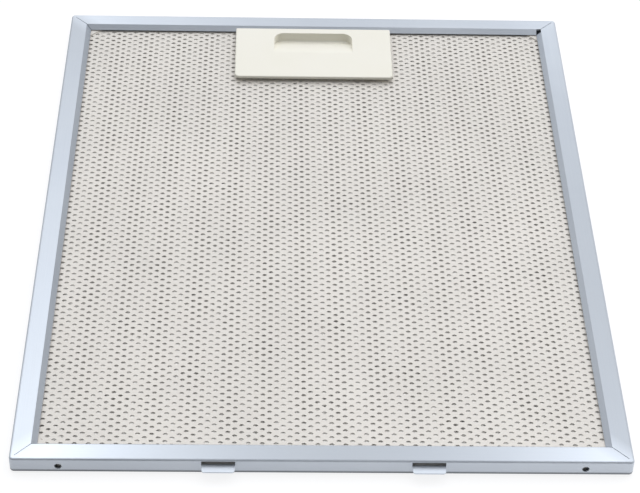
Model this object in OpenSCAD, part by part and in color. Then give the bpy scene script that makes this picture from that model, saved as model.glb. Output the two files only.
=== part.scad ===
// Cooker hood grease filter.
// A folded aluminium strip makes the frame, which grips five layers of aluminium mesh by its sloping lips.
// A moulded handle with a finger scoop is pegged through the mesh to a plate behind it.
// The filter lies on its rear face at z = 0, with the origin in the middle of that face.
// +Y is the handle side, -Y the side with the two lugs that hook into the hood.

/* [Frame] */
// Width across the frame
frame_w = 260; // [200:1:400]
// Length of the frame, from the lug side to the handle side
frame_l = 320; // [240:1:500]
// Thickness of the frame
frame_h = 8; // [7.5:0.1:11]
// Thickness of the folded strip
strip_t = 0.6; // [0.4:0.05:0.8]
// Width of the flat flange round each face
flange_w = 8.5; // [6:0.5:14]
// Slope of the inner lips below the face
lip_angle = 44; // [36:1:55]
// Outside radius of the upright corners
corner_r = 1.8; // [1.7:0.1:6]
// Outside radius of the fold between the web and a flange
fold_r = 1.1; // [0.9:0.1:1.6]
// Width of the slit where two flanges meet at a corner
mitre_gap = 0.25; // [0.1:0.05:0.5]
// Metal left between a mitre slit and the round corner
mitre_land = 2.4; // [2:0.1:4]
// Side of the square notch in the lips at the corner where the strip closes
corner_notch = 2.4; // [1:0.1:4]
// Length of the tongue that laps the closing seam inside
lap_l = 12; // [8:1:20]
// Height of that tongue
lap_h = 4.4; // [3:0.1:5]
// Distance of the closing seam from the round corner
seam_inset = 2; // [1.5:0.1:6]

/* [Lugs and drain holes] */
// Distance between the middles of the two lugs
lug_spacing = 87.7; // [40:0.1:140]
// How far the pair of lugs stands to the right of the frame's middle
lug_shift = 0.4; // [-2:0.1:2]
// Width of a lug
lug_w = 13.7; // [8:0.1:24]
// How far a lug stands out from the frame
lug_reach = 4.2; // [2.5:0.1:6]
// Height of a lug's upper face above the rear face
lug_z = 5.3; // [4:0.1:5.6]
// Radius of the fold at a lug's root, on the inside of the fold
lug_fold_r = 0.3; // [0.2:0.05:0.5]
// Radius of a lug's free corners
lug_corner_r = 1.2; // [0.5:0.1:2]
// Top of the window that a lug was cut from
window_top = 7.1; // [6.5:0.1:7.2]
// Width of the cut at each side of a lug
lance_gap = 0.15; // [0.1:0.05:0.4]
// Diameter of the drain holes
drain_d = 3; // [2:0.1:5]
// Distance of a drain hole from the frame's side
drain_inset = 20.2; // [12:0.1:30]
// Height of the drain holes
drain_z = 3.7; // [3:0.1:5]

/* [Mesh] */
// Thickness of the front and the rear mesh over their strands
face_mesh_t = 0.85; // [0.75:0.05:1]
// Thickness of the wall that the strands of a face mesh stand on
face_wall_t = 0.35; // [0.25:0.05:0.5]
// Thickness of each crimped layer over its crimps
inner_mesh_t = 0.55; // [0.5:0.05:0.7]
// Thickness of the wall of a crimped layer
inner_wall_t = 0.25; // [0.2:0.05:0.4]
// Pitch of the mesh openings across the filter
mesh_long = 5.9; // [5:0.1:10]
// Pitch of the mesh openings along the filter
mesh_short = 4; // [3.5:0.1:4.8]
// Width of a strand at its root
strand_w = 1.7; // [1:0.1:1.7]
// Width of one opening across the filter
gap_w = 2.8; // [1.5:0.1:4]
// Length of one opening along the filter
gap_l = 1.5; // [0.8:0.1:2.2]
// Distance between two crimps of an inner layer
crimp_pitch = 16; // [8:0.5:20]
// Width of a crimp at its root
crimp_w = 3; // [1.5:0.1:4]
// How far the layers of mesh lie below the middle of the frame's thickness
mesh_lower = 0.5; // [0:0.1:0.6]
// Clearance between the mesh and the inside of the frame's web
mesh_clearance = 1.2; // [0.8:0.1:2]
// Length cut off each corner of the mesh, along its edges
mesh_snip = 18; // [14:0.5:18.5]

/* [Handle] */
// Width of the handle's plate
handle_w = 82; // [76:1:120]
// Length of the handle's plate along the filter
handle_l = 42.6; // [40:0.1:60]
// How far the handle stands to the left of the frame's middle
handle_shift = 0.8; // [-2:0.1:2]
// Thickness of the plate
plate_t = 1.4; // [1.2:0.1:1.8]
// Radius of the plate's near corners
plate_corner_r = 2.6; // [1.5:0.1:5]
// Radius of the plate's upper edge
plate_edge_r = 0.6; // [0.3:0.1:0.9]
// Width of the finger scoop
scoop_w = 41.2; // [30:0.1:46]
// Length of the finger scoop from its steep wall to the end of its ramp
scoop_l = 16; // [14:0.1:18]
// Depth at which the steep wall and the ramp would meet
scoop_depth = 5.5; // [4.5:0.1:5.6]
// Distance of the scoop's steep wall from the plate's far edge
scoop_inset = 3.9; // [3:0.1:6]
// Slope of the steep wall from upright
scoop_draft = 4; // [2:0.5:10]
// Radius of the scoop's far corners, seen from the front
scoop_corner_r = 5.2; // [3:0.1:8]
// Radius at the foot of the steep wall
scoop_foot_r = 1.2; // [0.5:0.1:1.2]
// Radius where the ramp runs out into the plate
scoop_crest_r = 12; // [5:1:16]
// Thickness of the scoop's walls
scoop_wall = 1.2; // [0.8:0.1:1.3]
// Diameter of the pegs that hold the backing plate
peg_d = 3; // [2.5:0.1:4]
// Diameter of the bosses that stand the plate off the mesh
boss_d = 6; // [5:0.1:8]
// Diameter of the pegs' closed heads
peg_head_d = 4.8; // [4.4:0.1:6]
// Taper of a peg's head, from its upper to its lower diameter
peg_head_taper = 1.2; // [0.4:0.1:2]
// Distance of the pegs from the plate's edges
peg_inset = 6.5; // [5:0.1:8]

/* [Backing plate] */
// Thickness of the plate behind the mesh
backing_t = 0.8; // [0.7:0.1:1.2]
// How much smaller than the handle's plate it is on each side
backing_inset = 1; // [0.5:0.1:3]

/* [Clearances] */
// Gap between pieces that lie on each other
seat_gap = 0.05; // [0.02:0.01:0.1]
// Gap between the handle's plate and the lip beside it
handle_gap = 0.15; // [0.1:0.05:1]
// Gap round the scoop and the pegs where they pass through the mesh
pass_gap = 0.4; // [0.2:0.05:0.8]

/* [Hidden] */
$fn = 48;

// Depth that a solid is sunk into the one it grows from, and that a cutter reaches past a face
bite = 0.05;
past = 1;

metal = [0.80, 0.85, 0.90];
mesh_metal = [0.87, 0.85, 0.81];
cream = [0.96, 0.95, 0.89];

// The five layers lie on each other, a little nearer the rear face than the front one
inner_layers = 3;
pack_t = 2 * face_mesh_t + inner_layers * inner_mesh_t + (inner_layers + 1) * seat_gap;
rear_mesh_z = (frame_h - pack_t) / 2 - mesh_lower;
front_mesh_z = rear_mesh_z + pack_t - face_mesh_t;
function inner_layer_z(i) = rear_mesh_z + face_mesh_t + seat_gap + (i - 1) * (inner_mesh_t + seat_gap);

// The lips reach down to the mesh from both faces, so their depth follows the layers
front_drop = frame_h - front_mesh_z - face_mesh_t - seat_gap;
rear_drop = rear_mesh_z - seat_gap;
function lip_reach(drop) = (drop - strip_t * cos(lip_angle)) / tan(lip_angle);
rim_w = flange_w + lip_reach(front_drop);

// Where the two ends of the strip meet in the web of the handle side
seam_x = frame_w / 2 - corner_r - seam_inset;

// Half sizes of the mesh, and the slope of its strands
mesh_x = frame_w / 2 - strip_t - mesh_clearance;
mesh_y = frame_l / 2 - strip_t - mesh_clearance;
strand_slope = mesh_short / mesh_long;

// An opening stands between the strands at every so many places of the pattern; the columns are odd in number
gap_columns = 5;
gap_rows = 7;

// The handle's plate starts beside the lip of the handle side
plate_far_y = frame_l / 2 - rim_w - handle_gap;
plate_near_y = plate_far_y - handle_l;
plate_z = frame_h - plate_t;
scoop_far_y = plate_far_y - scoop_inset;
scoop_foot = [scoop_depth * tan(scoop_draft), scoop_depth];
scoop_slope = atan2(scoop_depth, scoop_l - scoop_foot.x);
peg_x = handle_w / 2 - peg_inset;
peg_ys = [plate_far_y - peg_inset, plate_near_y + peg_inset];
backing_z = rear_mesh_z - seat_gap - backing_t;

// A rectangle in the middle of the plane with round corners
module round_rect(w, l, r) {
    square([w - 2 * r, l], center = true);
    square([w, l - 2 * r], center = true);
    for (x = [-1, 1], y = [-1, 1])
        translate([x * (w / 2 - r), y * (l / 2 - r)])
            circle(r);
}

// Section of a slab from its middle out to one side, with both edges of that side rounded
module slab_side(reach, h, edge_r) {
    square([reach - edge_r, h]);
    translate([0, edge_r])
        square([reach, h - 2 * edge_r]);
    for (z = [edge_r, h - edge_r])
        translate([reach - edge_r, z])
            circle(edge_r);
}

// A bar along Y whose section is a slab_side on both sides
module slab_bar(w, l, h, edge_r) {
    translate([0, l / 2, 0])
        rotate([90, 0, 0])
            linear_extrude(l)
                for (side = [0, 1])
                    mirror([side, 0])
                        slab_side(w / 2, h, edge_r);
}

// A flat slab with round upright corners and rounded edges above and below
module rounded_slab(w, l, h, corner, edge_r) {
    slab_bar(w, l - 2 * corner, h, edge_r);
    rotate([0, 0, 90])
        slab_bar(l, w - 2 * corner, h, edge_r);
    for (turn = [0 : 3]) {
        x = (turn == 0 || turn == 3 ? 1 : -1) * (w / 2 - corner);
        y = (turn < 2 ? 1 : -1) * (l / 2 - corner);
        translate([x, y, 0])
            rotate([0, 0, turn * 90])
                rotate_extrude(angle = 90)
                    intersection() {
                        slab_side(corner, h, edge_r);
                        square([corner, h]);
                    }
    }
}

// The strip folded into a channel all round, before its corners and openings are cut
module folded_channel() {
    difference() {
        rounded_slab(frame_w, frame_l, frame_h, corner_r, fold_r);
        translate([0, 0, strip_t])
            rounded_slab(
                frame_w - 2 * strip_t, frame_l - 2 * strip_t, frame_h - 2 * strip_t,
                corner_r - strip_t, fold_r - strip_t
            );
        translate([0, 0, frame_h / 2])
            cube([frame_w - 2 * flange_w, frame_l - 2 * flange_w, frame_h + 2 * past], center = true);
    }
}

// Section of one lip: x runs inwards from the flange's edge, y upwards from the frame's face
module lip_section(drop) {
    reach = lip_reach(drop);
    tip = [reach, -drop + strip_t * cos(lip_angle)];
    under = [reach - strip_t * sin(lip_angle), -drop];
    root_x = under.x - (drop - strip_t) / tan(lip_angle);
    polygon([[-strip_t, 0], [0, 0], tip, under, [root_x, -strip_t], [-strip_t, -strip_t]]);
}

// One lip along the side at -Y, mitred at both ends, below the front face
module lip(w, l, drop) {
    intersection() {
        translate([-w / 2, -l / 2 + flange_w, frame_h])
            rotate([90, 0, 90])
                linear_extrude(w)
                    lip_section(drop);
        linear_extrude(frame_h)
            polygon([
                [-w / 2, -l / 2], [w / 2, -l / 2],
                [w / 2 - 2 * rim_w, -l / 2 + 2 * rim_w], [-w / 2 + 2 * rim_w, -l / 2 + 2 * rim_w]
            ]);
    }
}

module lips(drop) {
    for (turn = [0, 180])
        rotate([0, 0, turn]) {
            lip(frame_w, frame_l, drop);
            rotate([0, 0, 90])
                lip(frame_l, frame_w, drop);
        }
}

module lips_of_both_faces() {
    lips(front_drop);
    translate([0, 0, frame_h])
        mirror([0, 0, 1])
            lips(rear_drop);
}

module mitre_slits() {
    start = corner_r * (sqrt(2) - 1) + mitre_land;
    for (x = [-1, 1], y = [-1, 1])
        translate([x * frame_w / 2, y * frame_l / 2, -past])
            rotate([0, 0, atan2(-y, -x)])
                translate([start, -mitre_gap / 2, 0])
                    cube([2 * rim_w, mitre_gap, frame_h + 2 * past]);
}

// Section of a lug: x runs outwards from the web's outer face, y upwards
module lug_section() {
    fold_y = lug_z - strip_t - lug_fold_r;
    translate([lug_fold_r, fold_y])
        intersection() {
            difference() {
                circle(lug_fold_r + strip_t);
                circle(lug_fold_r);
            }
            translate([-lug_fold_r - strip_t, 0])
                square(lug_fold_r + strip_t);
        }
    translate([lug_fold_r - bite, lug_z - strip_t])
        square([lug_reach - lug_fold_r + bite, strip_t]);
    translate([-strip_t, fold_y - bite])
        square([strip_t, 2 * bite]);
}

// Outline of a lug from above: y runs outwards, and its free corners are round
module lug_outline() {
    translate([-lug_w / 2, -strip_t - past])
        square([lug_w, strip_t + past + lug_reach - lug_corner_r]);
    translate([-lug_w / 2 + lug_corner_r, -strip_t - past])
        square([lug_w - 2 * lug_corner_r, strip_t + past + lug_reach]);
    for (x = [-1, 1])
        translate([x * (lug_w / 2 - lug_corner_r), lug_reach - lug_corner_r])
            circle(lug_corner_r);
}

module at_lugs() {
    for (x = [-1, 1])
        translate([lug_shift + x * lug_spacing / 2, -frame_l / 2, 0])
            rotate([0, 0, 180])
                children();
}

module lug() {
    intersection() {
        translate([-lug_w / 2, 0, 0])
            rotate([90, 0, 90])
                linear_extrude(lug_w)
                    lug_section();
        linear_extrude(frame_h)
            lug_outline();
    }
}

module lug_window() {
    foot = lug_z - strip_t - lug_fold_r;
    w = lug_w + 2 * lance_gap;
    translate([-w / 2, -strip_t - bite, foot])
        cube([w, strip_t + bite + past, window_top - foot]);
}

// The tongue at one end of the strip, stepped inwards so that it lies behind the other end
module lap_tongue() {
    outer_y = frame_l / 2 - strip_t - seat_gap;
    z = (frame_h - lap_h) / 2;
    translate([seam_x - lap_l, outer_y - strip_t, z])
        cube([lap_l + mitre_gap + strip_t, strip_t, lap_h]);
    translate([seam_x + mitre_gap, outer_y - strip_t, z])
        cube([strip_t, strip_t + seat_gap + bite, lap_h]);
}

module closing_seam() {
    translate([seam_x, frame_l / 2 - strip_t - seat_gap / 2, fold_r])
        cube([mitre_gap, strip_t + past, frame_h - 2 * fold_r]);
}

module closing_notch() {
    translate([frame_w / 2 - flange_w - corner_notch, frame_l / 2 - flange_w - corner_notch, -past])
        cube([corner_notch, corner_notch, frame_h + 2 * past]);
}

module drain_holes() {
    for (x = [-1, 1])
        translate([x * (frame_w / 2 - drain_inset), -frame_l / 2 + strip_t + past, drain_z])
            rotate([90, 0, 0])
                cylinder(d = drain_d, h = strip_t + 2 * past);
}

module frame() {
    color(metal) {
        difference() {
            union() {
                folded_channel();
                lips_of_both_faces();
            }
            mitre_slits();
            at_lugs() lug_window();
            drain_holes();
            closing_seam();
            closing_notch();
        }
        at_lugs() lug();
        lap_tongue();
    }
}

// Where the scoop's body passes through the layers and the backing plate
module scoop_passage() {
    body_l = scoop_wall + scoop_l;
    translate([-scoop_w / 2 - scoop_wall - pass_gap, scoop_far_y + scoop_wall + pass_gap - body_l])
        square([scoop_w + 2 * (scoop_wall + pass_gap), body_l]);
}

module at_pegs() {
    for (x = [-1, 1], y = peg_ys)
        translate([x * peg_x, y])
            children();
}

// Outline shared by all five layers
module mesh_outline() {
    polygon([
        [mesh_x, mesh_y - mesh_snip], [mesh_x - mesh_snip, mesh_y],
        [-mesh_x + mesh_snip, mesh_y], [-mesh_x, mesh_y - mesh_snip],
        [-mesh_x, -mesh_y + mesh_snip], [-mesh_x + mesh_snip, -mesh_y],
        [mesh_x - mesh_snip, -mesh_y], [mesh_x, -mesh_y + mesh_snip]
    ]);
}

// What is punched through every layer
module mesh_punchings() {
    translate([-handle_shift, 0, -past])
        linear_extrude(frame_h + 2 * past) {
            scoop_passage();
            at_pegs() circle(d = peg_d + 2 * pass_gap, $fn = 12);
        }
}

// A straight ridge along X that stands on the plane z = 0
module ridge(length, width, height) {
    rotate([90, 0, 90])
        linear_extrude(length)
            polygon([[-width / 2, -bite], [width / 2, -bite], [0, height]]);
}

// One family of slanting strands on the plane z = 0, cut off at the mesh's outline
module strands(height) {
    slant = atan(strand_slope);
    reach = ceil((mesh_y + strand_slope * mesh_x) / mesh_short);
    length = 2 * (mesh_x + mesh_y);
    intersection() {
        linear_extrude(4 * height, center = true)
            mesh_outline();
        for (i = [-reach : reach])
            rotate([0, 0, slant])
                translate([-length / 2, i * mesh_short * cos(slant), 0])
                    ridge(length, strand_w, height);
    }
}

// Openings of true size between the strands, spread over the mesh; every = 2 leaves out each second one
module mesh_gaps(every) {
    step_x = gap_columns * mesh_long;
    step_y = gap_rows * mesh_short;
    nx = floor((mesh_x - rim_w) / step_x + 0.5);
    ny = floor((mesh_y - rim_w) / step_y);
    for (ix = [-nx : every : nx - 1], iy = [-ny : every : ny]) {
        x = (ix + 0.5) * step_x;
        y = iy * step_y;
        under_handle = abs(x + handle_shift) < handle_w / 2 + gap_w && y > plate_near_y - gap_l;
        if (!under_handle)
            translate([x, y, -past])
                linear_extrude(frame_h + 2 * past)
                    polygon([[-gap_w / 2, 0], [0, -gap_l / 2], [gap_w / 2, 0], [0, gap_l / 2]]);
    }
}

// A face mesh from z = 0: strands slant one way on its outer side and the other way on its inner side
module face_mesh() {
    strand_h = (face_mesh_t - face_wall_t) / 2;
    difference() {
        union() {
            translate([0, 0, strand_h])
                linear_extrude(face_wall_t)
                    mesh_outline();
            translate([0, 0, strand_h + face_wall_t])
                strands(strand_h);
            translate([0, 0, strand_h])
                mirror([0, 0, 1])
                    mirror([1, 0, 0])
                        strands(strand_h);
        }
        mesh_gaps(1);
        mesh_punchings();
    }
}

// One family of crimps, which run along the filter
module crimps(half_w, half_l, height) {
    n = floor((half_w - rim_w) / crimp_pitch);
    for (i = [-n : n])
        translate([i * crimp_pitch, -half_l + mesh_snip, 0])
            rotate([0, 0, 90])
                ridge(2 * (half_l - mesh_snip), crimp_w, height);
}

// A crimped layer from z = 0; crimps run along the filter, or across it
module inner_layer(across) {
    crimp_h = (inner_mesh_t - inner_wall_t) / 2;
    half_w = across ? mesh_y : mesh_x;
    half_l = across ? mesh_x : mesh_y;
    difference() {
        union() {
            translate([0, 0, crimp_h])
                linear_extrude(inner_wall_t)
                    mesh_outline();
            rotate([0, 0, across ? 90 : 0]) {
                translate([0, 0, crimp_h + inner_wall_t])
                    crimps(half_w, half_l, crimp_h);
                translate([0, 0, crimp_h])
                    mirror([0, 0, 1])
                        crimps(half_w, half_l, crimp_h);
            }
        }
        mesh_gaps(2);
        mesh_punchings();
    }
}

module front_mesh() {
    color(mesh_metal)
        translate([0, 0, front_mesh_z])
            face_mesh();
}

module rear_mesh() {
    color(mesh_metal)
        translate([0, 0, rear_mesh_z])
            face_mesh();
}

module placed_inner_layer(i) {
    color(mesh_metal)
        translate([0, 0, inner_layer_z(i)])
            inner_layer(i % 2 == 0);
}

// Section of the scoop: x runs from the steep wall's rim towards the ramp, y downwards from the face.
// Its foot is rounded, and so is the crest where the ramp runs out into the plate.
module scoop_section() {
    wedge = 90 + scoop_draft - scoop_slope;
    to_wall = [-sin(scoop_draft), -cos(scoop_draft)];
    to_ramp = [cos(scoop_slope), -sin(scoop_slope)];
    foot_tangent = scoop_foot_r / tan(wedge / 2);
    on_wall = scoop_foot + foot_tangent * to_wall;
    on_ramp = scoop_foot + foot_tangent * to_ramp;
    crest_tangent = scoop_crest_r * tan(scoop_slope / 2);
    crest_x = scoop_l + crest_tangent;
    difference() {
        polygon([
            [crest_x, -past], [crest_x, 0], [scoop_l, 0] - crest_tangent * to_ramp,
            on_ramp, on_wall, [-past * tan(scoop_draft), -past]
        ]);
        translate([crest_x, scoop_crest_r])
            circle(scoop_crest_r);
    }
    translate(on_ramp + scoop_foot_r * [-sin(scoop_slope), -cos(scoop_slope)])
        circle(scoop_foot_r);
}

// A section of the scoop drawn out all across the handle, placed on the plate's face
module across_handle() {
    translate([-handle_w / 2, scoop_far_y, frame_h])
        rotate([180, 0, 0])
            rotate([90, 0, 90])
                linear_extrude(handle_w)
                    children();
}

// Outline of the scoop from the front, grown by a wall; its far corners are round
module scoop_outline(wall) {
    w = scoop_w + 2 * wall;
    r = scoop_corner_r + wall;
    far = scoop_far_y + wall;
    near = scoop_far_y - scoop_l - scoop_crest_r;
    translate([-w / 2, near])
        square([w, far - r - near]);
    translate([-w / 2 + r, near])
        square([w - 2 * r, far - near]);
    for (x = [-1, 1])
        translate([x * (w / 2 - r), far - r])
            circle(r);
}

module scoop_cavity() {
    intersection() {
        across_handle() scoop_section();
        linear_extrude(frame_h + past)
            scoop_outline(0);
    }
}

// The scoop's body under the plate, one wall thicker than its cavity
module scoop_body() {
    base = scoop_depth + scoop_wall;
    drop = scoop_wall / cos(scoop_slope);
    intersection() {
        across_handle()
            polygon([
                [-scoop_wall, plate_t / 2], [-scoop_wall, base - drop / 2],
                [scoop_foot.x, base],
                [scoop_l + (drop - plate_t / 2) / tan(scoop_slope), plate_t / 2]
            ]);
        linear_extrude(frame_h)
            scoop_outline(scoop_wall);
    }
}

module plate() {
    spare = plate_corner_r + plate_edge_r;
    intersection() {
        translate([0, (plate_near_y + plate_far_y + spare) / 2, plate_z - plate_edge_r])
            rounded_slab(handle_w, handle_l + spare, plate_t + plate_edge_r, plate_corner_r, plate_edge_r);
        translate([-handle_w / 2 - past, plate_near_y - past, plate_z])
            cube([handle_w + 2 * past, handle_l + past, plate_t + past]);
    }
}

module peg() {
    head_top = backing_z - seat_gap;
    head_base = head_top / 2;
    boss_foot = front_mesh_z + face_mesh_t + seat_gap;
    translate([0, 0, head_base])
        cylinder(d1 = peg_head_d - peg_head_taper, d2 = peg_head_d, h = head_top - head_base);
    translate([0, 0, head_top - bite])
        cylinder(d = peg_d, h = plate_z - head_top + 2 * bite);
    translate([0, 0, boss_foot])
        cylinder(d = boss_d, h = plate_z + bite - boss_foot);
}

module handle() {
    color(cream)
        translate([-handle_shift, 0, 0])
            difference() {
                union() {
                    plate();
                    scoop_body();
                    at_pegs() peg();
                }
                scoop_cavity();
            }
}

module handle_backing() {
    color(cream)
        translate([-handle_shift, 0, backing_z])
            linear_extrude(backing_t)
                difference() {
                    translate([0, (plate_near_y + plate_far_y) / 2])
                        round_rect(handle_w - 2 * backing_inset, handle_l - 2 * backing_inset, plate_corner_r);
                    scoop_passage();
                    at_pegs() circle(d = peg_d + 2 * seat_gap);
                }
}

frame();
front_mesh();
placed_inner_layer(1);  // inner_layer_1
placed_inner_layer(2);  // inner_layer_2
placed_inner_layer(3);  // inner_layer_3
rear_mesh();
handle();
handle_backing();
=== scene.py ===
# Looks of the cooker hood grease filter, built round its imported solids.
# Lengths are in metres, in the frame of the part: the front face is up and the handle side is +Y.
import math

import bmesh
import bpy
from mathutils import Matrix, Vector


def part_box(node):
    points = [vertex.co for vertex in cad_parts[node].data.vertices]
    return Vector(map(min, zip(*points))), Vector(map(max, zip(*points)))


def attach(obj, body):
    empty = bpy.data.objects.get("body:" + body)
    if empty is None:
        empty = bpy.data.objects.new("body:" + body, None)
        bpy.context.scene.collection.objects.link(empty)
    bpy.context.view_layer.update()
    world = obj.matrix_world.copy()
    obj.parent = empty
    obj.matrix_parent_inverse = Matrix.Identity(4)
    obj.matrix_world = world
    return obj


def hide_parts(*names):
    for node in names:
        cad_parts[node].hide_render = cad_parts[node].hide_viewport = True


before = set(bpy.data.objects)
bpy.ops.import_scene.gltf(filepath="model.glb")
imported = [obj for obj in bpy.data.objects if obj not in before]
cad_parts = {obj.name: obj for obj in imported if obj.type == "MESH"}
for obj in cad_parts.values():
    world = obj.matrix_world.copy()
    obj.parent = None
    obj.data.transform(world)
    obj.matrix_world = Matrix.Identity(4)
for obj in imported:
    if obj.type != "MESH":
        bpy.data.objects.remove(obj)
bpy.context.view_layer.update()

MM = 0.001
IMAGE_W = 640
SENSOR_W = 36.0

# Camera, fitted to the outline in the photograph
FOCAL_PX = 1927.6
CAMERA_AZIMUTH = math.radians(-1.994)
CAMERA_ELEVATION = math.radians(41.505)
CAMERA_ROLL = math.radians(1.833)
CAMERA_TARGET = Vector((0.703, -21.542, 4.0)) * MM
CAMERA_DISTANCE = 904.8 * MM

# Expanded mesh of the two faces
FACE_LONG = 5.86 * MM
FACE_SHORT = 4.0 * MM
FACE_OPENING = (2.35 * MM, 1.1 * MM)
FACE_FLAT = 0.9 * MM
FACE_SHEET = 0.2 * MM
FACE_RISE = 0.12 * MM
# Gap between a face layer's strands and the inner side of its solid
FACE_SEAT = 0.02 * MM
# How the lattice wanders from a true one, which also stands for how its slight bulge looks from the
# camera: the power of X and of Y, both in DRIFT_UNIT, and a factor in mm across and along
DRIFT_UNIT = 100 * MM
FACE_DRIFT = (
    (0, 0, -1.708, 1.026), (1, 0, 0.121, -0.768), (0, 1, -0.036, -0.799), (2, 0, 0.335, -0.196),
    (0, 2, -0.037, -1.090), (1, 1, 0.050, 0.316), (4, 0, -0.114, -0.917), (0, 4, 0.0, -0.101),
    (2, 2, 0.047, 0.592), (3, 0, -0.187, -0.279), (0, 3, 0.046, -0.276),
)

# Crimped layers between them
INNER_LONG = 6.5 * MM
INNER_SHORT = 4.4 * MM
INNER_OPENING = (1.9 * MM, 0.85 * MM)
INNER_TILTS = [math.radians(a) for a in (1.3, -2.1, 0.6)]
INNER_SHEET = 0.25 * MM
CRIMP_PITCH = 16 * MM
NO_CRIMP = ((1, 0, 0), 0.0)

# The rim of a layer is pressed flat, and its corners are snipped
PRESSED_RIM = 3 * MM
MESH_SNIP = 18 * MM

# The strands start a little inside the layer's edge, under its pressed rim
STRAND_INSET = 1.6 * MM
STRAND_CORNER_CUT = 15 * MM

# Where the scoop's body goes through the layers
PASSAGE_HALF_W = 22.2 * MM
PASSAGE_NEAR = 129.5 * MM
PASSAGE_FAR = 147 * MM

# Roundings of the moulded pieces and of the folded strip
EDGE_ROUND = 0.22 * MM
STRIP_EDGE_ROUND = 0.1 * MM

# Edges that turn by more than this are rounded, or are shaded sharp
ROUNDED_FROM = math.radians(28)
SHARP_FROM = math.radians(35)
STRAND_SHARP_FROM = math.radians(50)

# How far apart points may lie and still be merged, and how far faces may turn and still be one
SOLID_MERGE = 0.002 * MM
SHEET_MERGE = 0.01 * MM
WALL_MERGE = 0.005 * MM
FLAT_WITHIN = math.radians(0.4)

# Painted light and shade along each side of the frame, in place of its broad reflections: a constant, a slope
# and a bow over -1 to 1
RAIL_PAINTED_LIGHT = {
    "left": (1.0, -0.186, 0.02), "right": (0.783, 0.124, 0.154),
    "near": (0.724, -0.127, 0.738), "far": (0.887, -0.076, 0.292), "web": (1.02, 0.12, 0.0),
}
# On each side of a mitre, the width over which the two painted tones run together
CORNER_BLEND = 9 * MM
# Painted shade on the lips along the two sides
SIDE_LIP_PAINTED_SHADE = 0.8

# The tongues: the painted light on their flat and on their root's fold, and what of the strip belongs to them
TONGUE_PAINTED_LIGHT = 1.1
TONGUE_FOLD_PAINTED_LIGHT = 1.6
TONGUE_ROOT_Y = -159.3 * MM
TONGUE_TOP = 6 * MM
TONGUE_FACING = 0.12

# Shade is painted on what is turned down and on the fold next to the floor; on the fold it darkens from the
# second height down to the first
LOW_FOLD_PAINTED_SHADE = 0.32
LOW_FOLD = (1.3 * MM, 2.1 * MM)

# The strip's two cloudy colours, the colour of its grain, and how fine the grain is
STRIP_COLOURS = ((0.525, 0.57, 0.635, 1), (0.575, 0.62, 0.68, 1))
STRIP_GRAIN_COLOUR = (0.73, 0.76, 0.81, 1)
GRAIN_ALONG, GRAIN_ACROSS = 25, 2600

# The foil's light and dark colours, and the plastic's, whose dark colour is painted shade on its walls
# towards the lugs
FACE_FOIL = ((0.735, 0.697, 0.648, 1), (0.672, 0.638, 0.594, 1))
# The layers between are paler than the face layers: painted light that lifts the shade in the openings
INNER_FOIL = ((0.98, 0.96, 0.92, 1), (0.94, 0.92, 0.88, 1))
FOIL_GRAIN_COLOUR = (0.97, 0.95, 0.92, 1)
CREAM = (0.92, 0.895, 0.81)
CREAM_PAINTED_SHADE = (0.71, 0.69, 0.60, 1)

FLOOR_REACH = 6.0
FLOOR_Z = -0.3 * MM


# Mesh tools


def new_piece(name, mesh):
    piece = bpy.data.objects.new(name, mesh)
    bpy.context.scene.collection.objects.link(piece)
    return piece


def evaluated_mesh(piece):
    """The piece's mesh with its modifiers applied, as a plain mesh."""
    graph = bpy.context.evaluated_depsgraph_get()
    graph.update()
    return bpy.data.meshes.new_from_object(piece.evaluated_get(graph), depsgraph=graph)


def bake_modifiers(piece):
    mesh = evaluated_mesh(piece)
    piece.modifiers.clear()
    piece.data = mesh


def merged_copy(node):
    """A copy of a solid's mesh with its doubles merged and its flat faces made whole."""
    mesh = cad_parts[node].data.copy()
    work = bmesh.new()
    work.from_mesh(mesh)
    bmesh.ops.remove_doubles(work, verts=work.verts, dist=SOLID_MERGE)
    bmesh.ops.dissolve_limit(work, angle_limit=FLAT_WITHIN, verts=work.verts, edges=work.edges)
    work.to_mesh(mesh)
    work.free()
    return mesh


def rounded_copy(node, name, width, segments):
    """The solid again, with its sharp edges rounded."""
    piece = new_piece(name, merged_copy(node))
    bevel = piece.modifiers.new("edge_round", "BEVEL")
    bevel.width = width
    bevel.segments = segments
    bevel.limit_method = "ANGLE"
    bevel.angle_limit = ROUNDED_FROM
    bevel.use_clamp_overlap = True
    bake_modifiers(piece)
    piece.data.shade_smooth()
    piece.data.set_sharp_from_angle(angle=SHARP_FROM)
    weighted = piece.modifiers.new("flat_faces_stay_flat", "WEIGHTED_NORMAL")
    weighted.keep_sharp = True
    bake_modifiers(piece)
    return piece


def hand_over(piece, node, material):
    """The finished piece takes the solid's place, on its body."""
    piece.data.materials.clear()
    piece.data.materials.append(material)
    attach(piece, "root")
    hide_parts(node)


# Expanded mesh


def expanded_tile(name, long_pitch, short_pitch, opening, flat, rise):
    """One bond above an opening, and the two strands to its right.

    An opening is a flat hexagon: its far edge stands up by rise and its near edge lies down by as much.
    """
    half_w, half_l = opening[0] / 2, opening[1] / 2
    half_flat = flat / 2
    step_x, step_y = long_pitch / 2, short_pitch / 2
    right_tip = (half_w, 0, 0)
    far_right = (half_flat, half_l, rise)
    far_left = (-half_flat, half_l, rise)
    near_right = (half_flat, -half_l, -rise)
    next_tip = (step_x - half_w, step_y, 0)
    bond = [
        far_left, far_right, next_tip,
        (half_flat, short_pitch - half_l, -rise), (-half_flat, short_pitch - half_l, -rise),
        (half_w - step_x, step_y, 0),
    ]
    strand_up = [far_right, right_tip, (step_x - half_flat, step_y - half_l, -rise), next_tip]
    strand_down = [
        near_right, (step_x - half_w, -step_y, 0), (step_x - half_flat, half_l - step_y, rise), right_tip,
    ]
    points, faces = [], []
    for outline in (bond, strand_up, strand_down):
        faces.append([len(points) + i for i in range(len(outline))][::-1])
        points += outline
    mesh = bpy.data.meshes.new(name)
    mesh.from_pydata(points, [], faces)
    return mesh


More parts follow.
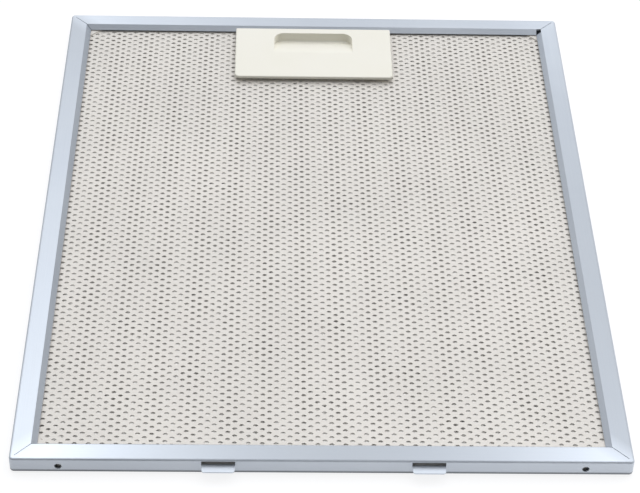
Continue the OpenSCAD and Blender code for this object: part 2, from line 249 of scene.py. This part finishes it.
class Tree:
    """A short way to write a node tree: nodes are made by type, and linked as they are made."""

    def __init__(self, tree):
        self.tree = tree

    def add(self, kind, links=None, **settings):
        node = self.tree.nodes.new(kind)
        for key, value in settings.items():
            setattr(node, key, value)
        for key, value in (links or {}).items():
            socket = node.inputs[key]
            if isinstance(value, bpy.types.NodeSocket):
                self.tree.links.new(value, socket)
            else:
                socket.default_value = value
        return node

    def math(self, operation, *values):
        return self.add("ShaderNodeMath", dict(enumerate(values)), operation=operation).outputs[0]

    def join(self, *parts):
        """Several geometries as one."""
        node = self.tree.nodes.new("GeometryNodeJoinGeometry")
        for part in parts:
            self.tree.links.new(part, node.inputs[0])
        return node.outputs[0]


def both(tree, *tests):
    """All of several true or false fields at once."""
    result = tests[0]
    for test in tests[1:]:
        result = tree.add("FunctionNodeBooleanMath", {0: result, 1: test}, operation="AND").outputs[0]
    return result


def drift(tree, amount):
    """How far a point of a drawn and pressed lattice lies from its true place."""
    place = tree.add("ShaderNodeSeparateXYZ", {0: tree.add("GeometryNodeInputPosition").outputs[0]}).outputs
    x = tree.math("MULTIPLY", place["X"], 1 / DRIFT_UNIT)
    y = tree.math("MULTIPLY", place["Y"], 1 / DRIFT_UNIT)
    across, along = 0.0, 0.0
    for power_x, power_y, factor_x, factor_y in FACE_DRIFT:
        term = tree.math("MULTIPLY", tree.math("POWER", x, power_x), tree.math("POWER", y, power_y))
        across = tree.math("MULTIPLY_ADD", term, factor_x * MM, across)
        along = tree.math("MULTIPLY_ADD", term, factor_y * MM, along)
    whole = tree.add("ShaderNodeCombineXYZ", {"X": across, "Y": along}).outputs[0]
    return tree.add("ShaderNodeVectorMath", {0: whole, "Scale": amount}, operation="SCALE").outputs[0]


def staggered_sheet(tree, given):
    """Tiles laid over two grids, the second one half a pitch on, and merged to one sheet."""
    long_pitch, short_pitch = given["Long Pitch"], given["Short Pitch"]
    size_x = tree.math("MULTIPLY", long_pitch, tree.math("SUBTRACT", given["Columns"], 1.0))
    size_y = tree.math("MULTIPLY", short_pitch, tree.math("SUBTRACT", given["Rows"], 1.0))
    grid = tree.add("GeometryNodeMeshGrid", {
        "Size X": size_x, "Size Y": size_y, "Vertices X": given["Columns"], "Vertices Y": given["Rows"],
    }).outputs["Mesh"]
    half_step = tree.add("ShaderNodeCombineXYZ", {
        "X": tree.math("MULTIPLY", long_pitch, 0.5), "Y": tree.math("MULTIPLY", short_pitch, 0.5),
    }).outputs[0]
    shifted = tree.add("GeometryNodeTransform", {"Geometry": grid, "Translation": half_step}).outputs[0]
    laid = tree.add("GeometryNodeInstanceOnPoints", {
        "Points": tree.join(grid, shifted), "Instance": given["Tile"],
    })
    sheet = tree.add("GeometryNodeRealizeInstances", {"Geometry": laid.outputs[0]}).outputs[0]
    return tree.add("GeometryNodeMergeByDistance", {"Geometry": sheet, "Distance": SHEET_MERGE}).outputs[0]


def turned_sheet(tree, given, sheet):
    """The sheet at its tilt, with its drift."""
    turn = tree.add("ShaderNodeCombineXYZ", {"Z": given["Tilt"]}).outputs[0]
    sheet = tree.add("GeometryNodeTransform", {"Geometry": sheet, "Rotation": turn}).outputs[0]
    wander = drift(tree, given["Drift"])
    return tree.add("GeometryNodeSetPosition", {"Geometry": sheet, "Offset": wander}).outputs[0]


def cut_sheet(tree, given, sheet):
    """The sheet without the faces outside the outline, or where the scoop passes through."""
    place = tree.add("ShaderNodeSeparateXYZ", {0: tree.add("GeometryNodeInputPosition").outputs[0]}).outputs
    across = tree.math("ABSOLUTE", place["X"])
    along = tree.math("ABSOLUTE", place["Y"])
    corner = tree.math("ADD", given["Half Width"], given["Half Length"])
    snip = tree.math("SUBTRACT", corner, given["Corner Cut"])
    inside = both(
        tree,
        tree.math("LESS_THAN", across, given["Half Width"]),
        tree.math("LESS_THAN", along, given["Half Length"]),
        tree.math("LESS_THAN", tree.math("ADD", across, along), snip),
    )
    from_middle = tree.math("ABSOLUTE", tree.math("SUBTRACT", place["X"], given["Passage Middle"]))
    passage = both(
        tree,
        tree.math("LESS_THAN", from_middle, given["Passage Half Width"]),
        tree.math("GREATER_THAN", place["Y"], given["Passage Near"]),
        tree.math("LESS_THAN", place["Y"], given["Passage Far"]),
    )
    outside = tree.add("FunctionNodeBooleanMath", {0: inside}, operation="NOT").outputs[0]
    left_out = tree.add("FunctionNodeBooleanMath", {0: outside, 1: passage}, operation="OR").outputs[0]
    return tree.add(
        "GeometryNodeDeleteGeometry", {"Geometry": sheet, "Selection": left_out}, domain="FACE"
    ).outputs[0]


def crimped_sheet(tree, given, sheet):
    """The sheet at its height, in shallow waves; a layer with no crimp height stays flat."""
    distance = tree.add("ShaderNodeVectorMath", {
        0: tree.add("GeometryNodeInputPosition").outputs[0], 1: given["Crimp Direction"],
    }, operation="DOT_PRODUCT").outputs["Value"]
    phase = tree.math("DIVIDE", tree.math("MULTIPLY", distance, 2 * math.pi), given["Crimp Pitch"])
    wave = tree.math("MULTIPLY", tree.math("COSINE", phase), given["Crimp Height"])
    lift = tree.add("ShaderNodeCombineXYZ", {"Z": tree.math("ADD", wave, given["Base"])}).outputs[0]
    return tree.add("GeometryNodeSetPosition", {"Geometry": sheet, "Offset": lift}).outputs[0]


def thick_sheet(tree, given, sheet):
    """The sheet with its thickness: a raised copy and its side walls close on the turned-over sheet below."""
    up = tree.add("ShaderNodeCombineXYZ", {"Z": 1.0}).outputs[0]
    raised = tree.add("GeometryNodeExtrudeMesh", {
        "Mesh": sheet, "Offset": up, "Offset Scale": given["Thickness"], "Individual": False,
    }, mode="FACES").outputs["Mesh"]
    under = tree.add("GeometryNodeFlipFaces", {"Mesh": sheet}).outputs[0]
    return tree.add("GeometryNodeMergeByDistance", {
        "Geometry": tree.join(raised, under), "Distance": WALL_MERGE,
    }).outputs[0]


def expanded_tree():
    """Geometry Nodes that lay a tile over a lattice, cut it to the layer's outline and thicken it."""
    group = bpy.data.node_groups.new("expanded_metal", "GeometryNodeTree")
    for kind, names in (
        ("Geometry", ("Tile",)),
        ("Int", ("Columns", "Rows")),
        ("Float", (
            "Long Pitch", "Short Pitch", "Tilt", "Drift", "Half Width", "Half Length", "Corner Cut",
            "Passage Half Width", "Passage Near", "Passage Far", "Passage Middle",
            "Crimp Pitch", "Crimp Height", "Thickness", "Base",
        )),
        ("Vector", ("Crimp Direction",)),
        ("Material", ("Finish",)),
    ):
        for name in names:
            group.interface.new_socket(name, in_out="INPUT", socket_type="NodeSocket" + kind)
    group.interface.new_socket("Mesh", in_out="OUTPUT", socket_type="NodeSocketGeometry")
    tree = Tree(group)
    given = tree.add("NodeGroupInput").outputs
    sheet = staggered_sheet(tree, given)
    for step in (turned_sheet, cut_sheet, crimped_sheet, thick_sheet):
        sheet = step(tree, given, sheet)
    solid = tree.add("GeometryNodeRealizeInstances", {"Geometry": sheet}).outputs[0]
    solid = tree.add("GeometryNodeSetMaterial", {"Geometry": solid, "Material": given["Finish"]}).outputs[0]
    tree.add("NodeGroupOutput", {"Mesh": solid})
    return group


def give_inputs(modifier, **values):
    """Sets a modifier's inputs by the names they have in its tree, through their identifiers."""
    for item in modifier.node_group.interface.items_tree:
        name = item.name.replace(" ", "_")
        if item.in_out == "INPUT" and name in values:
            modifier[item.identifier] = values[name]


def octagon(half_w, half_l, snip):
    corners = [
        (half_w, half_l - snip), (half_w - snip, half_l), (snip - half_w, half_l), (-half_w, half_l - snip),
    ]
    return corners + [(-x, -y) for x, y in corners]


def pressed_rim(mesh, low, high):
    """Adds the flat rim of a layer to its strands: a closed band that follows the layer's outline."""
    inner_snip = MESH_SNIP - (2 - math.sqrt(2)) * PRESSED_RIM
    outer = octagon(high.x, high.y, MESH_SNIP)
    inner = octagon(high.x - PRESSED_RIM, high.y - PRESSED_RIM, inner_snip)
    work = bmesh.new()
    work.from_mesh(mesh)
    rings = [
        [work.verts.new((x, y, z)) for x, y in ring]
        for ring, z in ((outer, low.z), (outer, high.z), (inner, high.z), (inner, low.z))
    ]
    for index, ring in enumerate(rings):
        following = rings[(index + 1) % len(rings)]
        for i in range(len(ring)):
            j = (i + 1) % len(ring)
            work.faces.new((ring[i], ring[j], following[j], following[i]))
    work.to_mesh(mesh)
    work.free()


def expanded_layer(group, node, tile, pitch, sheet, base, material, tilt=0.0, wander=0.0, crimp=NO_CRIMP):
    """One layer of expanded mesh in the place of its solid. Its crimp is a direction and a height."""
    low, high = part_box(node)
    half_w, half_l = high.x, high.y
    plate_low, plate_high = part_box("handle")
    piece = new_piece(node + "_strands", tile)
    modifier = piece.modifiers.new("expanded_metal", "NODES")
    modifier.node_group = group
    spread = 1 + 2 * abs(math.sin(tilt))
    direction, height = crimp
    give_inputs(
        modifier,
        Long_Pitch=pitch[0], Short_Pitch=pitch[1],
        Columns=int(2 * half_w * spread / pitch[0]) + 3, Rows=int(2 * half_l * spread / pitch[1]) + 3,
        Tilt=tilt, Drift=wander,
        Half_Width=half_w - STRAND_INSET, Half_Length=half_l - STRAND_INSET, Corner_Cut=STRAND_CORNER_CUT,
        Passage_Half_Width=PASSAGE_HALF_W, Passage_Near=PASSAGE_NEAR, Passage_Far=PASSAGE_FAR,
        Passage_Middle=(plate_low.x + plate_high.x) / 2,
        Crimp_Direction=direction, Crimp_Pitch=CRIMP_PITCH, Crimp_Height=height,
        Thickness=sheet, Base=base, Finish=material,
    )
    bake_modifiers(piece)
    pressed_rim(piece.data, low, high)
    piece.data.shade_smooth()
    piece.data.set_sharp_from_angle(angle=STRAND_SHARP_FROM)
    hand_over(piece, node, material)


def mesh_layers(face_material, inner_material):
    group = expanded_tree()
    face_tile = expanded_tile("face_tile", FACE_LONG, FACE_SHORT, FACE_OPENING, FACE_FLAT, FACE_RISE)
    inner_tile = expanded_tile("inner_tile", INNER_LONG, INNER_SHORT, INNER_OPENING, 0.0, 0.0)
    # The two face layers lie against the layers between them
    front_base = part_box("front_mesh")[0].z + FACE_RISE + FACE_SEAT
    rear_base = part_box("rear_mesh")[1].z - FACE_SHEET - FACE_RISE - FACE_SEAT
    for node, base in (("front_mesh", front_base), ("rear_mesh", rear_base)):
        expanded_layer(
            group, node, face_tile, (FACE_LONG, FACE_SHORT), FACE_SHEET, base, face_material, wander=1.0,
        )
    for index, tilt in enumerate(INNER_TILTS):
        node = f"inner_layer_{index + 1}"
        low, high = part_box(node)
        height = (high.z - low.z - INNER_SHEET) / 2
        along = (0, 1, 0) if index == 1 else (1, 0, 0)
        expanded_layer(
            group, node, inner_tile, (INNER_LONG, INNER_SHORT), INNER_SHEET,
            (low.z + high.z - INNER_SHEET) / 2, inner_material, tilt=tilt, crimp=(along, height),
        )


# Materials


def new_material(name):
    material = bpy.data.materials.new(name)
    material.use_nodes = True
    material.node_tree.nodes.clear()
    return material, Tree(material.node_tree)


def shader(tree, links, **constants):
    """The surface shader; what is the same all over is set on its own sockets."""
    node = tree.add("ShaderNodeBsdfPrincipled", links)
    for name, value in constants.items():
        node.inputs[name].default_value = value
    tree.add("ShaderNodeOutputMaterial", {"Surface": node.outputs[0]})


def noise(tree, vector, scale, detail=2.0, roughness=0.5):
    return tree.add("ShaderNodeTexNoise", {
        "Vector": vector, "Scale": scale, "Detail": detail, "Roughness": roughness,
    }).outputs["Fac"]


def stretched(tree, vector, scale):
    return tree.add("ShaderNodeMapping", {"Vector": vector, "Scale": scale}).outputs[0]


def remap(tree, value, low, high, to_low, to_high):
    return tree.add("ShaderNodeMapRange", {
        "Value": value, "From Min": low, "From Max": high, "To Min": to_low, "To Max": to_high,
    }).outputs[0]


def ramp(tree, value, low, high):
    """From nought at low to one at high."""
    return remap(tree, value, low, high, 0.0, 1.0)


def product(tree, first, *others):
    for other in others:
        first = tree.math("MULTIPLY", first, other)
    return first


def pick(tree, test, when_false, when_true):
    return tree.add("ShaderNodeMix", {0: test, 2: when_false, 3: when_true}, data_type="FLOAT").outputs[0]


def mix_colour(tree, factor, first, second, blend="MIX"):
    return tree.add(
        "ShaderNodeMix", {0: factor, 6: first, 7: second}, data_type="RGBA", blend_type=blend,
    ).outputs[2]


def surface_normal(tree):
    normal = tree.add("ShaderNodeNewGeometry").outputs["Normal"]
    return tree.add("ShaderNodeSeparateXYZ", {0: normal}).outputs


def bump(tree, height, strength, distance):
    return tree.add("ShaderNodeBump", {
        "Height": height, "Strength": strength, "Distance": distance,
    }).outputs[0]


# Painted light along one rail: a constant, a slope and a bow
def painted_rail_light(tree, position, factors):
    constant, slope, bow = factors
    inner = tree.math("MULTIPLY_ADD", position, bow, slope)
    return tree.math("MULTIPLY_ADD", inner, position, constant)


def edge_distances(tree, xyz):
    """How far a point of the frame lies in from its left or right side, and from its near or far end."""
    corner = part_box("frame")[1]
    return (
        tree.math("SUBTRACT", corner.x, tree.math("ABSOLUTE", xyz["X"])),
        tree.math("SUBTRACT", corner.y, tree.math("ABSOLUTE", xyz["Y"])),
    )


def painted_flange_light(tree, xyz, along_x):
    """The painted light and shade of the four flanges; near a corner those of two of them run into each
    other.
    """
    along_y = tree.math("DIVIDE", xyz["Y"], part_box("frame")[1].y)
    from_side, from_end = edge_distances(tree, xyz)
    towards_side = ramp(tree, tree.math("SUBTRACT", from_end, from_side), -CORNER_BLEND, CORNER_BLEND)
    side = pick(
        tree, tree.math("GREATER_THAN", xyz["X"], 0.0),
        painted_rail_light(tree, along_y, RAIL_PAINTED_LIGHT["left"]), painted_rail_light(tree, along_y, RAIL_PAINTED_LIGHT["right"]),
    )
    end = pick(
        tree, tree.math("GREATER_THAN", xyz["Y"], 0.0),
        painted_rail_light(tree, along_x, RAIL_PAINTED_LIGHT["near"]), painted_rail_light(tree, along_x, RAIL_PAINTED_LIGHT["far"]),
    )
    return pick(tree, towards_side, end, side)


def on_side_lip(tree, normal):
    """One on the lips along the two sides, where shade is painted."""
    sideways = tree.math("ABSOLUTE", normal["X"])
    return product(tree, ramp(tree, sideways, 0.5, 0.65), ramp(tree, normal["Z"], 0.4, 0.6))


def on_tongue(tree, xyz, normal):
    """One on the upper side of the two lanced tongues."""
    return product(
        tree,
        tree.math("GREATER_THAN", normal["Z"], TONGUE_FACING),
        tree.math("LESS_THAN", xyz["Z"], TONGUE_TOP),
        tree.math("LESS_THAN", xyz["Y"], TONGUE_ROOT_Y),
    )


def on_low_fold(tree, xyz, normal):
    """One where shade is painted: on what is turned down, and on the fold next to the floor, but not on the
    rear face itself.
    """
    facing = normal["Z"]
    turned_down = ramp(tree, facing, -0.05, -0.4)
    by_the_floor = product(tree, ramp(tree, xyz["Z"], LOW_FOLD[1], LOW_FOLD[0]), ramp(tree, facing, 0.5, 0.3))
    not_rear_face = ramp(tree, facing, -0.99, -0.93)
    return product(tree, tree.math("MAXIMUM", turned_down, by_the_floor), not_rear_face)


def painted_strip_light(tree, xyz, normal):
    """The painted light and shade of the strip, from place to place."""
    along_x = tree.math("DIVIDE", xyz["X"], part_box("frame")[1].x)
    upwards = ramp(tree, normal["Z"], 0.75, 0.95)
    level = pick(
        tree, upwards, painted_rail_light(tree, along_x, RAIL_PAINTED_LIGHT["web"]), painted_flange_light(tree, xyz, along_x))
    # Painted shade on the side lips
    level = product(tree, level, remap(tree, on_side_lip(tree, normal), 0.0, 1.0, 1.0, SIDE_LIP_PAINTED_SHADE))
    # Painted light on the tongues, brighter still at their root's fold
    tongue = remap(tree, normal["Z"], 0.5, 0.95, TONGUE_FOLD_PAINTED_LIGHT, TONGUE_PAINTED_LIGHT)
    level = pick(tree, on_tongue(tree, xyz, normal), level, tongue)
    # Painted shade on what is turned down and on the fold next to the floor
    return product(tree, level, remap(tree, on_low_fold(tree, xyz, normal), 0.0, 1.0, 1.0, LOW_FOLD_PAINTED_SHADE))


def rolled_aluminium():
    """The frame's strip: satin, a little blue, with the grain of rolling along each side."""
    material, tree = new_material("rolled_aluminium")
    place = tree.add("ShaderNodeTexCoord").outputs["Object"]
    xyz = tree.add("ShaderNodeSeparateXYZ", {0: place}).outputs
    grain = pick(
        tree, tree.math("LESS_THAN", *edge_distances(tree, xyz)),
        noise(tree, stretched(tree, place, (GRAIN_ALONG, GRAIN_ACROSS, GRAIN_ACROSS)), 1.0, detail=3.0),
        noise(tree, stretched(tree, place, (GRAIN_ACROSS, GRAIN_ALONG, GRAIN_ACROSS)), 1.0, detail=3.0),
    )
    cloud = noise(tree, place, 22.0, detail=4.0, roughness=0.6)
    specks = noise(tree, place, 900.0)
    tone = mix_colour(tree, ramp(tree, cloud, 0.3, 0.7), *STRIP_COLOURS)
    tone = mix_colour(tree, remap(tree, grain, 0.35, 0.75, 0.0, 0.22), tone, STRIP_GRAIN_COLOUR)
    # The strip's colour is multiplied by its painted light and shade
    level = painted_strip_light(tree, xyz, surface_normal(tree))
    shade = tree.add("ShaderNodeCombineXYZ", {"X": level, "Y": level, "Z": level}).outputs[0]
    tone = mix_colour(tree, 1.0, tone, shade, "MULTIPLY")
    rough = tree.math(
        "ADD", remap(tree, grain, 0.3, 0.7, 0.34, 0.46), remap(tree, cloud, 0.3, 0.7, -0.03, 0.04))
    height = tree.math("ADD", grain, tree.math("MULTIPLY", specks, 0.3))
    shader(tree, {
        "Base Color": tone, "Roughness": rough, "Normal": bump(tree, height, 0.10, 0.05 * MM),
    }, Metallic=0.62)
    return material


def expanded_aluminium(name, light, dark, rough, metallic):
    """The mesh's foil: pale and slightly warm, with soft patches of grey."""
    material, tree = new_material(name)
    place = tree.add("ShaderNodeTexCoord").outputs["Object"]
    patches = noise(tree, place, 16.0, detail=3.0, roughness=0.55)
    grain = noise(tree, stretched(tree, place, (400, 2400, 2400)), 1.0)
    tone = mix_colour(tree, ramp(tree, patches, 0.3, 0.7), dark, light)
    tone = mix_colour(tree, remap(tree, grain, 0.35, 0.7, 0.0, 0.25), tone, FOIL_GRAIN_COLOUR)
    shader(tree, {
        "Base Color": tone, "Roughness": remap(tree, grain, 0.3, 0.7, rough - 0.05, rough + 0.06),
        "Normal": bump(tree, grain, 0.15, 0.05 * MM),
    }, Metallic=metallic)
    return material


def moulded_plastic(name, colour):
    """Cream plastic with a fine spark-eroded skin."""
    material, tree = new_material(name)
    place = tree.add("ShaderNodeTexCoord").outputs["Object"]
    skin = noise(tree, place, 2600.0, roughness=0.6)
    flow = noise(tree, place, 30.0, detail=3.0)
    warm = (colour[0] * 0.97, colour[1] * 0.965, colour[2] * 0.93, 1)
    tone = mix_colour(tree, remap(tree, flow, 0.3, 0.7, 0.0, 0.6), (*colour, 1), warm)
    # Painted shade on its walls towards the lugs
    facing = surface_normal(tree)["Y"]
    tone = mix_colour(tree, remap(tree, facing, -0.3, -0.85, 0.0, 0.9), tone, CREAM_PAINTED_SHADE)
    shader(tree, {
        "Base Color": tone, "Roughness": remap(tree, skin, 0.3, 0.7, 0.42, 0.55),
        "Normal": bump(tree, skin, 0.25, 0.03 * MM),
    }, IOR=1.46)
    return material


# Floor, light and camera


def pale_floor():
    """A wide floor that is white to the camera and in reflections, and keeps the object's shadow."""
    material, tree = new_material("pale_floor")
    rays = tree.add("ShaderNodeLightPath").outputs
    seen = tree.math("MAXIMUM", rays["Is Camera Ray"], tree.math(
        "MAXIMUM", rays["Is Glossy Ray"], rays["Is Transmission Ray"]))
    plain = tree.add("ShaderNodeBsdfDiffuse", {"Color": (0.80, 0.80, 0.80, 1)}).outputs[0]
    shade = tree.add("ShaderNodeBsdfDiffuse", {"Color": (0.25, 0.25, 0.26, 1)}).outputs[0]
    glow = tree.add("ShaderNodeEmission", {"Color": (1, 1, 1, 1), "Strength": 0.82}).outputs[0]
    lit = tree.add("ShaderNodeAddShader", {0: shade, 1: glow}).outputs[0]
    mixed = tree.add("ShaderNodeMixShader", {0: seen, 1: plain, 2: lit}).outputs[0]
    tree.add("ShaderNodeOutputMaterial", {"Surface": mixed})
    mesh = bpy.data.meshes.new("floor")
    corners = [(x * FLOOR_REACH, y * FLOOR_REACH, FLOOR_Z) for x, y in ((-1, -1), (1, -1), (1, 1), (-1, 1))]
    mesh.from_pydata(corners, [], [(0, 1, 2, 3)])
    mesh.materials.append(material)
    floor = new_piece("floor", mesh)


def studio_world():
    """A white room, lit from above and from the handle's side, and dimmer behind the camera."""
    world = bpy.data.worlds.new("studio")
    bpy.context.scene.world = world
    world.use_nodes = True
    world.node_tree.nodes.clear()
    tree = Tree(world.node_tree)
    rays = tree.add("ShaderNodeLightPath").outputs
    direction = tree.add("ShaderNodeTexCoord").outputs["Generated"]
    towards = tree.add("ShaderNodeSeparateXYZ", {0: direction}).outputs
    level = tree.math(
        "ADD", tree.math("MULTIPLY", towards["Y"], 0.55), tree.math("MULTIPLY", towards["Z"], 0.45))
    strength = tree.add("ShaderNodeMapRange", {
        "Value": level, "From Min": -0.45, "From Max": 0.7, "To Min": 0.18, "To Max": 0.9,
    }, interpolation_type="SMOOTHSTEP").outputs[0]
    plain = tree.add("ShaderNodeBackground", {"Color": (0.95, 0.97, 1.0, 1), "Strength": strength}).outputs[0]
    white = tree.add("ShaderNodeBackground", {"Color": (1, 1, 1, 1), "Strength": 1.0}).outputs[0]
    mixed = tree.add("ShaderNodeMixShader", {0: rays["Is Camera Ray"], 1: plain, 2: white}).outputs[0]
    tree.add("ShaderNodeOutputWorld", {"Surface": mixed})


def soft_lamp(name, place, size, watts):
    """A softbox that is turned to the part."""
    lamp = bpy.data.lights.new(name, "AREA")
    lamp.shape = "RECTANGLE"
    lamp.size, lamp.size_y = size
    lamp.energy = watts
    holder = bpy.data.objects.new(name, lamp)
    holder.location = place
    holder.rotation_euler = (-Vector(place)).to_track_quat("-Z", "Y").to_euler()
    bpy.context.scene.collection.objects.link(holder)


def photo_camera():
    azimuth, elevation = CAMERA_AZIMUTH, CAMERA_ELEVATION
    level = math.cos(elevation)
    back = Vector((math.sin(azimuth) * level, -math.cos(azimuth) * level, math.sin(elevation)))
    right = Vector((math.cos(azimuth), math.sin(azimuth), 0))
    up = back.cross(right)
    rolled_right = math.cos(CAMERA_ROLL) * right + math.sin(CAMERA_ROLL) * up
    rolled_up = math.cos(CAMERA_ROLL) * up - math.sin(CAMERA_ROLL) * right
    camera = bpy.data.cameras.new("photo_camera")
    camera.sensor_fit = "HORIZONTAL"
    camera.sensor_width = SENSOR_W
    camera.lens = FOCAL_PX / IMAGE_W * SENSOR_W
    camera.clip_start = 0.01
    camera.clip_end = 50
    holder = bpy.data.objects.new("photo_camera", camera)
    turn = Matrix((rolled_right, rolled_up, back)).transposed()
    holder.matrix_world = Matrix.Translation(CAMERA_TARGET + CAMERA_DISTANCE * back) @ turn.to_4x4()
    bpy.context.scene.collection.objects.link(holder)
    bpy.context.scene.camera = holder


def studio():
    pale_floor()
    studio_world()
    soft_lamp("overhead_softbox", place=(0.3, 0.6, 1.5), size=(2.4, 1.8), watts=12.0)
    soft_lamp("side_softbox", place=(1.5, 0.5, 0.9), size=(0.9, 0.9), watts=2.0)
    photo_camera()
    bpy.context.scene.view_settings.view_transform = "Standard"


def build():
    strip = rolled_aluminium()
    foil = expanded_aluminium("front_foil", *FACE_FOIL, rough=0.45, metallic=0.2)
    inner_foil = expanded_aluminium("inner_foil", *INNER_FOIL, rough=0.5, metallic=0.0)
    cream = moulded_plastic("cream_plastic", CREAM)
    for node, name, width, segments, slot, material in (
        ("frame", "folded_frame", STRIP_EDGE_ROUND, 2, "frame_metal", strip),
        ("handle", "moulded_handle", EDGE_ROUND, 3, "handle_plastic", cream),
        ("handle_backing", "moulded_backing", EDGE_ROUND, 2, "handle_plastic", cream),
    ):
        hand_over(rounded_copy(node, name, width, segments), node, material)
    mesh_layers(foil, inner_foil)


build()
studio()
